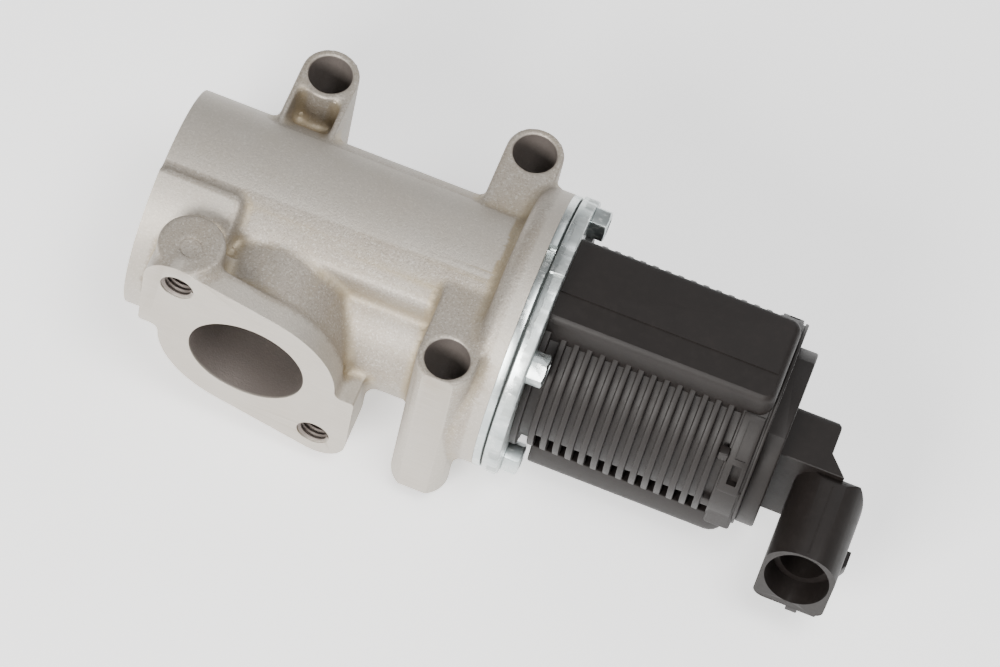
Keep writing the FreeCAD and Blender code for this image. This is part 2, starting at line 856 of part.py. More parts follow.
def connector_outline():
    """Shell section across Y: half-round top, smaller rounds at the bottom corners."""
    half = connector_width / 2
    low, high = connector_bottom_z, connector_top_z
    top_round = connector_top_round
    low_round = connector_bottom_round
    left, right = connector_x - half, connector_x + half
    diagonal = math.sqrt(0.5)

    def corner(x, z, sx, sz, radius):
        centre = V(x - sx * radius, 0, z - sz * radius)
        first = centre + V(sx * radius, 0, 0)
        middle = centre + V(sx * radius * diagonal, 0, sz * radius * diagonal)
        last = centre + V(0, 0, sz * radius)
        return first, middle, last

    a = corner(right, low, 1, -1, low_round)
    b = corner(left, low, -1, -1, low_round)
    c = corner(left, high, -1, 1, top_round)
    d = corner(right, high, 1, 1, top_round)
    edges = [
        Part.Arc(a[0], a[1], a[2]).toShape(),
        Part.makeLine(a[2], b[2]),
        Part.Arc(b[2], b[1], b[0]).toShape(),
        Part.makeLine(b[0], c[0]),
        Part.Arc(c[0], c[1], c[2]).toShape(),
        Part.makeLine(c[2], d[2]),
        Part.Arc(d[2], d[1], d[0]).toShape(),
        Part.makeLine(d[0], a[0]),
    ]
    return Part.Wire(edges)


def socket_oval(inset, start, end):
    """Oval hollow along Y, set in from the wall's inner face."""
    half_width = connector_width / 2 - connector_wall - inset
    half_height = socket_height / 2 - inset
    centre = V(connector_x, start, socket_centre_z)
    oval = Part.Ellipse(centre + V(0, 0, half_height), centre + V(half_width, 0, 0), centre)
    return Part.Face(Part.Wire(oval.toShape())).extrude(V(0, end - start, 0))


def connector_shell():
    back_y = block_front_y + connector_overlap
    outer = extrude_y(connector_outline(), connector_mouth_y, back_y)
    half = connector_width / 2
    long_y = (connector_mouth_y - 2 * connector_back_round, back_y)
    plan = rounded_block((connector_x - half, connector_x + half), long_y,
                         (connector_bottom_z, connector_top_z), connector_back_round, V(0, 0, 1))
    side_view = rounded_block((connector_x - half, connector_x + half), long_y,
                              (connector_bottom_z - connector_back_round, connector_top_z),
                              connector_back_round, V(1, 0, 0))
    return outer.common(plan).common(side_view).fuse([connector_snap(), connector_keys()])


def connector_snap():
    """Snap ramp for the plug's latch on the shell's outer side."""
    side = connector_x + connector_width / 2
    start = connector_mouth_y + snap_from_mouth
    points = [
        V(side - 1, start, 0),
        V(side, start, 0),
        V(side + snap_stand_out, start + snap_ramp, 0),
        V(side + snap_stand_out, start + snap_length, 0),
        V(side - 1, start + snap_length, 0),
        V(side - 1, start, 0),
    ]
    ramp = Part.Face(Part.makePolygon(points)).extrude(V(0, 0, snap_height))
    ramp.translate(V(0, 0, connector_centre_z - snap_height / 2))
    return ramp


def connector_keys():
    """Key and its shoulder below the mouth."""
    along = (connector_mouth_y, connector_mouth_y + key_length)
    key = block((connector_x, connector_x + key_width), along,
                (connector_bottom_z - key_drop, connector_bottom_z + 0.5))
    shoulder_start = connector_x + key_width
    shoulder = block((shoulder_start, shoulder_start + key_shoulder_width), along,
                     (connector_bottom_z - key_shoulder_drop, connector_bottom_z + 0.5))
    return key.fuse(shoulder)


def connector_block():
    """Base of the connector on the cap's disc, with the brace that carries the shell."""
    body = block((cap_end, block_end), (block_front_y, block_rear_y),
                 (block_bottom_z, block_top_z))
    rounded = [edge for edge in body.Edges
               if edge.BoundBox.YMin > block_rear_y - 0.1 and edge.BoundBox.XMax > cap_end + 0.1]
    body = body.makeFillet(block_round, rounded)
    root = block_end - block_round
    brace_points = [
        V(root, block_front_y + brace_run, block_bottom_z),
        V(block_end, block_front_y + brace_run, block_bottom_z),
        V(block_end + brace_reach, block_front_y, block_bottom_z),
        V(root, block_front_y, block_bottom_z),
        V(root, block_front_y + brace_run, block_bottom_z),
    ]
    brace = Part.Face(Part.makePolygon(brace_points)).extrude(V(0, 0, block_height))
    return body.fuse(brace)


def sensor_cavity():
    """Room for the board and, nearer the disc, for the slider's travel."""
    floor_z = -board_drop - board_thickness
    rear_y = block_rear_y - cavity_rear_wall
    room = block((cap_end + 0.5, block_end - cavity_wall),
                 (block_front_y + cavity_front_wall, rear_y),
                 (floor_z, block_top_z - cavity_wall))
    travel = block((shell_end + travel_pocket_wall, cap_end + 1),
                   (rear_y - board_width - 0.8, rear_y),
                   (floor_z, slider_collar_radius + 0.5))
    return room.fuse(travel)


def make_end_cap():
    disc = cyl_x(cap_radius, shell_end, cap_end, 0, cap_centre_z)
    rear_rim = edges_near(disc, V(cap_end - 0.1, -99, -99), V(cap_end + 0.1, 99, 99))
    disc = disc.makeChamfer(cap_edge, rear_rim)
    disc = disc.common(block((shell_end - 1, cap_end + 1), (-99, 99), (-99, cap_flat_z)))
    spigot = ring_x(spigot_radius, spigot_radius - spigot_wall,
                    shell_end - spigot_length, shell_end + 0.5, 0, cap_centre_z)
    slider_guide = cyl_x(slider_guide_radius, shell_end - slider_guide_stand_out,
                         shell_end + travel_pocket_wall)
    body = disc.fuse([spigot, slider_guide, connector_block(), connector_shell()])
    socket = socket_oval(socket_ledge, connector_mouth_y - 1, socket_floor_y)
    mouth = socket_oval(0, connector_mouth_y - 1, connector_mouth_y + socket_ledge_depth)
    guide = cyl_x(slider_radius + running_clearance, shell_end - slider_guide_stand_out - 1,
                  shell_end + travel_pocket_wall + 1)
    body = body.cut([socket, mouth, guide, sensor_cavity()] + pin_slots())
    return body.removeSplitter()


def pin_box(index, grow):
    z = socket_centre_z + (index - (pin_count - 1) / 2) * pin_pitch
    return block((connector_x - pin_width / 2 - grow, connector_x + pin_width / 2 + grow),
                 (socket_floor_y - pin_free_length, socket_floor_y + pin_root_length),
                 (z - pin_thickness / 2 - grow, z + pin_thickness / 2 + grow))


def pin_slots():
    return [pin_box(index, 0) for index in range(pin_count)]


def make_connector_terminals():
    return Part.makeCompound([pin_box(index, 0) for index in range(pin_count)])


def make_cap_seal():
    return ring_x(spigot_radius + seal_width, spigot_radius,
                  shell_end - seal_length, shell_end, 0, cap_centre_z)


# Position sensor

def make_sensor_slider():
    plunger = cyl_x(slider_radius, rod_end, rod_end + slider_length)
    collar_start = rod_end + slider_length - slider_collar_length
    collar = cyl_x(slider_collar_radius, collar_start, rod_end + slider_length)
    return plunger.fuse(collar)


def make_sensor_wiper():
    """Bent strip on the slider's collar, with its foot just above the board."""
    collar = rod_end + slider_length - slider_collar_length
    foot_z = wiper_clearance - board_drop
    half = wiper_width / 2
    upright = block((collar - wiper_thickness, collar), (-half, half),
                    (foot_z, -slider_radius - 0.1))
    foot = block((collar - wiper_thickness, collar + slider_collar_length), (-half, half),
                 (foot_z, foot_z + wiper_thickness))
    return upright.fuse(foot)


def make_sensor_spring():
    return spring_x(sensor_spring_mean_radius, sensor_spring_wire_radius,
                    sensor_spring_turns, rod_end + slider_length, block_end - cavity_wall)


def make_sensor_board():
    rear_y = block_rear_y - cavity_rear_wall - 0.4
    return block((shell_end + travel_pocket_wall + 0.2, block_end - cavity_wall),
                 (rear_y - board_width, rear_y),
                 (-board_drop - board_thickness, -board_drop))


os.makedirs("parts", exist_ok=True)

pieces = {
    "valve_housing": make_valve_housing,
    "heat_shield_plate": make_heat_shield_plate,
    "joint_gasket": make_joint_gasket,
    "adapter_plate": make_adapter_plate,
    "joint_screws": make_joint_screws,
    "actuator_housing": make_actuator_housing,
    "end_cap": make_end_cap,
    "connector_terminals": make_connector_terminals,
    "valve_seat_ring": make_valve_seat_ring,
    "valve_head": make_valve_head,
    "valve_stem": make_valve_stem,
    "stem_guide_bush": make_stem_guide_bush,
    "stem_scraper": make_stem_scraper,
    "return_spring": make_return_spring,
    "spring_retainer": make_spring_retainer,
    "retainer_clip": make_retainer_clip,
    "rod_seal": make_rod_seal,
    "solenoid_yoke": make_solenoid_yoke,
    "pole_core": make_pole_core,
    "front_bush": make_front_bush,
    "coil_bobbin": make_coil_bobbin,
    "coil_winding": make_coil_winding,
    "armature_sleeve": make_armature_sleeve,
    "armature": make_armature,
    "push_rod": make_push_rod,
    "rear_plate": make_rear_plate,
    "rear_bush": make_rear_bush,
    "sensor_slider": make_sensor_slider,
    "sensor_wiper": make_sensor_wiper,
    "sensor_spring": make_sensor_spring,
    "sensor_board": make_sensor_board,
    "cap_seal": make_cap_seal,
}

for node, make in pieces.items():
    save(node, make())
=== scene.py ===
import bpy
import bmesh
import json
import math
import numpy
from mathutils import Euler, Matrix, Vector


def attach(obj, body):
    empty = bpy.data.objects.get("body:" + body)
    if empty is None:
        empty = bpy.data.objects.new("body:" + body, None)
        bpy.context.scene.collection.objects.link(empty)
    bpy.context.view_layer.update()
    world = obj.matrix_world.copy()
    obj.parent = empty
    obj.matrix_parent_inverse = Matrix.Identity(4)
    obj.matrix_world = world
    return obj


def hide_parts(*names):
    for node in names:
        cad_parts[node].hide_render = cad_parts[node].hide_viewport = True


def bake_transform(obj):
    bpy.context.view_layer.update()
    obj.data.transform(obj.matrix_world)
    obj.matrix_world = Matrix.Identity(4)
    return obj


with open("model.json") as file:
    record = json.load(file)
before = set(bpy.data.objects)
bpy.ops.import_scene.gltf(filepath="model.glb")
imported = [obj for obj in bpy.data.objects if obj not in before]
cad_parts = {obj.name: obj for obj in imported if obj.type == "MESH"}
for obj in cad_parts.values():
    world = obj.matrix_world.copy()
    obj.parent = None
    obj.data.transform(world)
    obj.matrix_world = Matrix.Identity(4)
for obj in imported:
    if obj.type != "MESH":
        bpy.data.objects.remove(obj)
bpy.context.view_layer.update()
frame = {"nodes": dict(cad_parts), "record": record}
nodes = frame["nodes"]
print("frame loaded,", len(nodes), "nodes")

mm = 0.001

# casting: skin sizes, machined faces, and each hole's place and size
casting = {
    "voxel": 0.55, "fillet": 1.0, "smoothing": 2, "keep": 0.33, "spare": 2.0,
    "flangeFace": -34.1, "jointFace": 88.2, "feet": -28.5,
    "rearFeet": (-90, 20, 140, 60), "frontFoot": (66, -60, 95, -21.0),
    "port": (32.7, -0.6), "portRadius": 14.0,
    "outletRadius": 20.5, "outletDepth": 10.0, "seatRadius": 15.0, "seatSpan": (13.5, 19.1),
    "threads": ((14.25, 19.5), (51.15, -20.7)), "threadRadius": 4.0, "threadDepth": 11.2, "chamfer": 0.35,
    "bosses": ((25.1, 34.0, 18.9), (76.0, 33.1, 20.1), (76.6, -28.1, 23.4)), "boreRadius": 5.15,
    "mark": (14.4, -27.4, 26.9), "markRadius": 2.7, "markWidth": 0.4, "markDepth": 0.25,
}


# shader maths

class Socket:  # one output of a node tree, so that shader maths reads as plain arithmetic
    def __init__(self, tree, output=None):
        self.tree = tree
        self.output = output

    def node(self, kind, settings=None, inputs=None, output=0):
        made = self.tree.nodes.new("ShaderNode" + kind)
        for name, value in (settings or {}).items():
            setattr(made, name, value)
        for name, value in (inputs or {}).items():
            if isinstance(value, Socket):
                self.tree.links.new(value.output, made.inputs[name])
            else:
                made.inputs[name].default_value = value
        return Socket(self.tree, made.outputs[output])

    def calc(self, operation, first, second=0.0):
        return self.node("Math", {"operation": operation}, {0: first, 1: second})

    def __add__(self, other):
        return self.calc("ADD", self, other)

    __radd__ = __add__

    def __sub__(self, other):
        return self.calc("SUBTRACT", self, other)

    def __rsub__(self, other):
        return self.calc("SUBTRACT", other, self)

    def __mul__(self, other):
        return self.calc("MULTIPLY", self, other)

    __rmul__ = __mul__

    def over(self, limit, soft=0.02):  # 0 below the limit and 1 above it
        return self.node("MapRange", {"clamp": True},
                         {"Value": self, "From Min": limit - soft, "From Max": limit + soft})

    def between(self, low, high, soft=0.02):  # 1 inside the span and 0 outside it
        return self.over(low, soft) * (1 - self.over(high, soft))

    def mix(self, low, high):  # colours low to high as this value goes from 0 to 1
        def colour(shade):
            return shade if isinstance(shade, Socket) else tuple(shade) + (1.0,)
        return self.node("Mix", {"data_type": "RGBA"}, {0: self, 6: colour(low), 7: colour(high)}, 2)


class Finish:  # a material under construction, with coordinates in millimetres
    def __init__(self, name):
        self.material = bpy.data.materials.new(name)
        self.material.use_nodes = True
        self.tree = self.material.node_tree
        self.shader = self.tree.nodes["Principled BSDF"]
        self.start = Socket(self.tree)
        place = self.start.node("TexCoord", output="Object")
        self.place = self.start.node("VectorMath", {"operation": "SCALE"}, {0: place, "Scale": 1000.0})

    def axes(self):
        parts = self.start.node("SeparateXYZ", None, {"Vector": self.place})
        links = parts.output.node.outputs
        return [Socket(self.tree, links[axis]) for axis in ("X", "Y", "Z")]

    def noise(self, size, detail=2.0, rough=0.5, stretch=None):
        place = self.place
        if stretch:
            place = self.start.node("VectorMath", {"operation": "MULTIPLY"}, {0: place, 1: stretch})
        return self.start.node("TexNoise", None,
                               {"Vector": place, "Scale": 1.0 / size, "Detail": detail, "Roughness": rough})

    def inside(self, across, up, centre, radius):  # 1 inside a round hole along the third axis
        a, b = across - centre[0], up - centre[1]
        return 1 - self.start.calc("SQRT", a * a + b * b).over(radius, 0.15)

    def worn(self, name):  # a value kept on each point of the mesh
        made = self.start.node("Attribute", {"attribute_name": name})
        return Socket(self.tree, made.output.node.outputs["Fac"])

    def bump(self, height, depth, below=None):  # depth in millimetres for a height of 1
        inputs = {"Height": height, "Distance": depth * mm, "Strength": 1.0}
        if below:
            inputs["Normal"] = below
        return self.start.node("Bump", None, inputs)

    def put(self, **values):
        for name, value in values.items():
            slot = self.shader.inputs[name.replace("_", " ")]
            if isinstance(value, Socket):
                self.tree.links.new(value.output, slot)
            elif isinstance(value, tuple) and len(value) == 3:
                slot.default_value = value + (1.0,)
            else:
                slot.default_value = value
        return self.material


def shaded(shade, share):
    return tuple(part * share for part in shade)


# finishes

def castAluminium():
    # hole is a painted shade colour laid inside the port, the outlet, the boss bores and the threaded holes
    look = {"light": (0.38, 0.345, 0.30), "warm": (0.355, 0.31, 0.255), "pit": (0.13, 0.11, 0.09),
            "stain": (0.34, 0.27, 0.16), "hole": (0.14, 0.115, 0.108), "edge": (0.56, 0.525, 0.47),
            "metal": 0.55, "rough": 0.5, "portShadeDepth": -8.0, "threadDepth": -22.0, "rim": 0.3}
    made = Finish("castAluminium")
    x, y, z = made.axes()
    face, rim = casting["flangeFace"], look["rim"]
    machined = 1 - y.over(face + 0.1, 0.05)
    # painted shade: a mask over the insides of the port, the threaded holes, the boss bores and the outlet,
    # each down to a set depth
    holeShade = made.inside(x, z, casting["port"], casting["portRadius"] + 0.25)
    holeShade = holeShade * y.between(face + 0.4, look["portShadeDepth"], 0.25)
    for place in casting["threads"]:
        thread = made.inside(x, z, place, casting["threadRadius"] + 0.5)
        holeShade = holeShade + thread * y.between(face + 0.4, look["threadDepth"], 0.25)
    for across, along, top in casting["bosses"]:
        bore = made.inside(x, y, (across, along), casting["boreRadius"] + 0.2)
        holeShade = holeShade + bore * (1 - z.over(top - rim, rim))
    holeShade = holeShade + made.inside(y, z, (0.0, 0.0), casting["outletRadius"] + rim) * x.over(0.5, rim)
    blasted = 1 - machined
    patch = made.noise(11.0, 3.0, 0.55).over(0.5, 0.16)
    grain = made.noise(0.5, 3.0, 0.7)
    speck = made.noise(0.6, 2.0, 0.7).over(0.6, 0.06)
    lines = made.noise(0.5, 3.0, 0.6, (0.05, 1.0, 1.0))
    colour = patch.mix(look["light"], look["warm"])
    colour = (speck * blasted * 0.6).mix(colour, look["edge"])
    colour = ((1 - grain.over(0.42, 0.1)) * blasted * 0.42).mix(colour, look["pit"])
    colour = (made.worn("hollow") * 0.6).mix(colour, look["stain"])
    colour = (made.worn("crest") * 0.45).mix(colour, look["edge"])
    colour = (lines.over(0.6, 0.1) * machined * 0.3).mix(colour, look["edge"])
    # painted shade darkening the insides of the holes
    colour = (holeShade * 0.8).mix(colour, look["hole"])
    normal = made.bump(made.noise(2.2, 2.0, 0.5), 0.03)
    normal = made.bump(grain * blasted, 0.09, normal)
    normal = made.bump(lines * machined, 0.008, normal)
    rough = grain * 0.2 + (look["rough"] - 0.1) - machined * 0.1
    return made.put(Base_Color=colour, Metallic=look["metal"], Roughness=rough, Normal=normal)


def zincPlate(name, edges=None):
    look = {"light": (0.66, 0.70, 0.69), "dull": (0.47, 0.52, 0.52), "scuff": (0.9, 0.9, 0.87),
            "tear": (0.36, 0.38, 0.37), "rough": 0.24}
    made = Finish(name)
    x = made.axes()[0]
    cloud = made.noise(7.0, 3.0, 0.6).over(0.5, 0.15)
    scuff = made.noise(0.9, 4.0, 0.7, (0.5, 1.0, 1.0)).over(0.6, 0.05)
    fine = made.noise(0.35, 2.0, 0.6)
    colour = cloud.mix(look["light"], look["dull"])
    colour = (scuff * 0.45).mix(colour, look["scuff"])
    rough = scuff * 0.12 + (cloud * 0.1 + look["rough"])
    normal = made.bump(fine, 0.006)
    if edges:  # torn part of a punched rim, between two places along the axis
        torn = (x + made.noise(1.4, 2.0, 0.6) * 1.2).between(edges[0] + 0.6, edges[1] + 0.6, 0.12)
        torn = torn * made.noise(5.0, 2.0, 0.6, (0.1, 1.0, 1.0)).over(0.52, 0.05)
        colour = (torn * 0.55).mix(colour, look["tear"])
        rough = rough + torn * 0.2
        normal = made.bump(made.noise(0.45, 3.0, 0.7, (0.35, 1.0, 1.0)) * torn, 0.06, normal)
    return made.put(Base_Color=colour, Metallic=1.0, Roughness=rough, Normal=normal)


def mouldedPlastic(name, shade, rough=0.46, grain=0.012):
    made = Finish(name)
    flow = made.noise(6.0, 3.0, 0.6).over(0.5, 0.25)
    haze = made.noise(1.8, 3.0, 0.65).over(0.6, 0.1)
    fine = made.noise(0.3, 2.0, 0.6)
    colour = flow.mix(shade, shaded(shade, 0.8))
    colour = (haze * 0.3).mix(colour, shaded(shade, 1.5))
    normal = made.bump(made.noise(1.5, 2.0, 0.5), 0.01)
    return made.put(Base_Color=colour, Specular_IOR_Level=0.3,
                    Roughness=fine * 0.14 + haze * 0.06 + (rough - 0.08),
                    Normal=made.bump(fine, grain, normal))


def turnedMetal(name, shade, rough=0.3):
    made = Finish(name)
    rings = made.noise(0.4, 2.0, 0.5, (3.0, 0.4, 0.4))
    wear = made.noise(3.0, 3.0, 0.6).over(0.5, 0.2)
    colour = wear.mix(shade, shaded(shade, 0.8))
    return made.put(Base_Color=colour, Metallic=1.0, Roughness=rings * 0.2 + (rough - 0.1),
                    Normal=made.bump(rings, 0.006))


def softRubber(name, shade):
    made = Finish(name)
    fine = made.noise(0.3, 2.0, 0.6)
    return made.put(Base_Color=fine.mix(shade, shaded(shade, 1.6)), Roughness=0.7,
                    Normal=made.bump(fine, 0.01))


def woundWire():
    made = Finish("woundCopper")
    turns = made.start.calc("PINGPONG", made.axes()[0], 0.2) * 5.0
    wear = made.noise(2.0, 2.0, 0.5)
    colour = wear.mix((0.55, 0.2, 0.08), (0.75, 0.34, 0.15))
    return made.put(Base_Color=colour, Metallic=1.0, Roughness=wear * 0.2 + 0.25,
                    Normal=made.bump(turns, 0.12))


def boardGreen():
    made = Finish("boardGreen")
    track = made.axes()[1].between(-1.4, 0.8, 0.03)
    fine = made.noise(0.8, 2.0, 0.5)
    colour = track.mix(fine.mix((0.02, 0.12, 0.05), (0.03, 0.16, 0.07)), (0.02, 0.02, 0.02))
    return made.put(Base_Color=colour, Roughness=0.4, Normal=made.bump(fine, 0.01))


finishes = {
    "cast_metal": castAluminium(),
    "plated_steel": zincPlate("zincPlate", (91.8, 94.3)),
    "bright_steel": zincPlate("zincScrew"),
    "gasket": softRubber("gasketBlack", (0.012, 0.015, 0.014)),
    "black_plastic": mouldedPlastic("blackNylon", (0.0125, 0.0098, 0.0088), 0.5),
    "contact_metal": turnedMetal("tinnedContact", (0.72, 0.70, 0.66), 0.3),
    "hard_steel": turnedMetal("groundSteel", (0.52, 0.50, 0.48), 0.32),
    "bush_bronze": turnedMetal("sinteredBronze", (0.52, 0.34, 0.17), 0.45),
    "spring_steel": turnedMetal("springSteel", (0.36, 0.36, 0.37), 0.33),
    "seal_rubber": softRubber("sealRubber", (0.02, 0.02, 0.022)),
    "magnet_iron": turnedMetal("magnetIron", (0.16, 0.16, 0.165), 0.45),
    "bobbin_plastic": mouldedPlastic("bobbinPlastic", (0.16, 0.14, 0.12), 0.5),
    "copper_wire": woundWire(),
    "board_laminate": boardGreen(),
}

slotOf = {part["node"]: part["material_slot"] for part in frame["record"]["subparts"]}


def dress(obj, slotName):
    obj.data.materials.clear()
    obj.data.materials.append(finishes[slotName])


for name, obj in nodes.items():
    dress(obj, slotOf[name])
print("finishes made,", len(finishes))


# making and finishing pieces

def loose(name, shape):  # a mesh object, in the scene but riding on nothing yet
    mesh = bpy.data.meshes.new(name)
    bmesh.ops.recalc_face_normals(shape, faces=shape.faces)
    shape.to_mesh(mesh)
    shape.free()
    obj = bpy.data.objects.new(name, mesh)
    bpy.context.scene.collection.objects.link(obj)
    return obj


def settle(obj, angle=35.0):  # smooth faces with crisp edges past the angle
    obj.data.polygons.foreach_set("use_smooth", [True] * len(obj.data.polygons))
    obj.data.set_sharp_from_angle(angle=math.radians(angle))


def bake(obj):  # the mesh with its modifiers applied
    bpy.context.view_layer.update()
    graph = bpy.context.evaluated_depsgraph_get()
    done = bpy.data.meshes.new_from_object(obj.evaluated_get(graph))
    obj.modifiers.clear()
    obj.data = done


def combine(obj, tool, operation):
    step = obj.modifiers.new(operation.lower(), "BOOLEAN")
    step.operation = operation
    step.object = tool
    step.solver = "MANIFOLD"
    bake(obj)
    bpy.data.objects.remove(tool)


def joined(obj, shapes):
    for shape in shapes:
        combine(obj, loose("part", shape), "UNION")


def carved(obj, shapes):
    for shape in shapes:
        combine(obj, loose("cut", shape), "DIFFERENCE")


def finish(obj, slotName, body="housing", stands=(), angle=35.0):
    settle(obj, angle)
    dress(obj, slotName)
    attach(obj, body)
    if stands:
        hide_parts(*stands)
    print(obj.name, "made,", len(obj.data.polygons), "faces")


turns = {"X": Matrix.Rotation(math.radians(90), 4, "Y"), "Y": Matrix.Rotation(math.radians(-90), 4, "X"),
         "Z": Matrix.Identity(4)}


def rod(axis, centre, radius, start, end, sides=96, endRadius=None):
    shape = bmesh.new()
    turn = turns[axis]
    along = turn @ Vector((0, 0, 1))
    middle = Vector(centre)
    middle = middle - along * middle.dot(along) + along * (start + end) / 2
    far = radius if endRadius is None else endRadius
    bmesh.ops.create_cone(shape, cap_ends=True, segments=sides, radius1=radius * mm, radius2=far * mm,
                          depth=(end - start) * mm, matrix=Matrix.Translation(middle * mm) @ turn)
    return shape


def block(low, high):
    low, high = Vector(low), Vector(high)
    shape = bmesh.new()
    place = Matrix.Translation((low + high) / 2 * mm) @ Matrix.Diagonal((high - low) * mm).to_4x4()
    bmesh.ops.create_cube(shape, size=1.0, matrix=place)
    return shape


def rounded(points, radius, steps=4):  # an outline with its corners turned into arcs
    made = []
    count = len(points)
    for index, here in enumerate(points):
        here = Vector(here)
        before, after = Vector(points[index - 1]) - here, Vector(points[(index + 1) % count]) - here
        half = before.angle(after) / 2
        wanted = radius[index] if isinstance(radius, (list, tuple)) else radius
        room = 0.49 * min(before.length, after.length) * math.tan(half)
        bend = min(wanted, room)
        if bend < 0.01 or half > 1.55:
            made.append(tuple(here))
            continue
        middle = here + (before.normalized() + after.normalized()).normalized() * (bend / math.sin(half))
        first = here + before.normalized() * (bend / math.tan(half)) - middle
        last = here + after.normalized() * (bend / math.tan(half)) - middle
        sweep = first.angle_signed(last)
        for step in range(steps + 1):
            turned = first.copy()
            turned.rotate(Matrix.Rotation(-sweep * step / steps, 2))
            made.append(tuple(middle + turned))
    return made


def spun(profile, centre=(0.0, 0.0), sides=192):  # solid of revolution along X from (x, radius) points
    shape = bmesh.new()
    cy, cz = centre
    lean = math.radians(0.7)  # keeps the rows of points off the main planes
    verts = [shape.verts.new((x * mm, (cy - r * math.cos(lean)) * mm, (cz - r * math.sin(lean)) * mm))
             for x, r in profile]
    first = 1 if profile[0][1] == profile[-1][1] == 0 else 0  # a solid core needs no wall on the axis
    edges = [shape.edges.new((verts[i - 1], verts[i])) for i in range(first, len(verts))]
    bmesh.ops.spin(shape, geom=verts + edges, cent=(0, cy * mm, cz * mm), axis=(1, 0, 0),
                   angle=2 * math.pi, steps=sides, use_merge=True, use_duplicate=False)
    bmesh.ops.remove_doubles(shape, verts=shape.verts, dist=1e-7)
    return shape


def prism(outline, axis, start, end):  # an outline across one axis, drawn out along it
    spread = {"X": lambda a, b, c: (c, a, b),
              "Y": lambda a, b, c: (a, c, b),
              "Z": lambda a, b, c: (a, b, c)}[axis]
    shape = bmesh.new()
    face = shape.faces.new([shape.verts.new(Vector(spread(a, b, start)) * mm) for a, b in outline])
    grown = bmesh.ops.extrude_face_region(shape, geom=[face])["geom"]
    move = Vector(spread(0, 0, end - start)) * mm
    far = [part for part in grown if isinstance(part, bmesh.types.BMVert)]
    bmesh.ops.translate(shape, vec=move, verts=far)
    bmesh.ops.recalc_face_normals(shape, faces=shape.faces)
    return shape


def soften(shape, radius, steps=2, angle=30.0, choose=None):  # round the edges sharper than the angle
    limit = math.radians(angle)
    edges = [edge for edge in shape.edges if edge.is_manifold and edge.calc_face_angle() > limit
             and (choose is None or choose(edge))]
    bmesh.ops.bevel(shape, geom=edges, offset=radius * mm, offset_type="OFFSET", segments=steps, profile=0.5,
                    affect="EDGES", material=-1, clamp_overlap=True)
    return shape


def middleOf(edge):
    return (edge.verts[0].co + edge.verts[1].co) / 2 / mm


def softBlock(low, high, radius, steps=3, choose=None):
    return soften(block(low, high), radius, steps, 30.0, choose)


def arcPoints(radius, first, last, steps=24):  # points on a circle about the axis, angles in degrees from -Y
    made = []
    for step in range(steps + 1):
        angle = math.radians(first + (last - first) * step / steps)
        made.append((-radius * math.cos(angle), radius * math.sin(angle)))
    return made


# casting

def wearOf(obj):  # how hollow or proud the surface is at each point
    mesh = obj.data
    count = len(mesh.vertices)
    places = numpy.empty(count * 3)
    mesh.vertices.foreach_get("co", places)
    places = places.reshape(-1, 3)
    normals = numpy.empty(count * 3)
    mesh.vertex_normals.foreach_get("vector", normals)
    normals = normals.reshape(-1, 3)
    ends = numpy.empty(len(mesh.edges) * 2, dtype=numpy.int64)
    mesh.edges.foreach_get("vertices", ends)
    a, b = ends[::2], ends[1::2]
    share = numpy.bincount(ends, minlength=count)[:, None]

    def spread(values):
        total = numpy.zeros_like(values)
        numpy.add.at(total, a, values[b])
        numpy.add.at(total, b, values[a])
        return total / numpy.maximum(share, 1)

    drift = places
    for step in range(4):
        drift = spread(drift)
    rise = ((drift - places) * normals).sum(axis=1, keepdims=True) / mm
    for step in range(2):
        rise = spread(rise)
    for name, values in (("hollow", (rise - 0.06) / 0.22), ("crest", (-rise - 0.07) / 0.2)):
        layer = mesh.attributes.new(name, "FLOAT", "POINT")
        layer.data.foreach_set("value", numpy.clip(values, 0, 1).ravel().astype(numpy.float32))


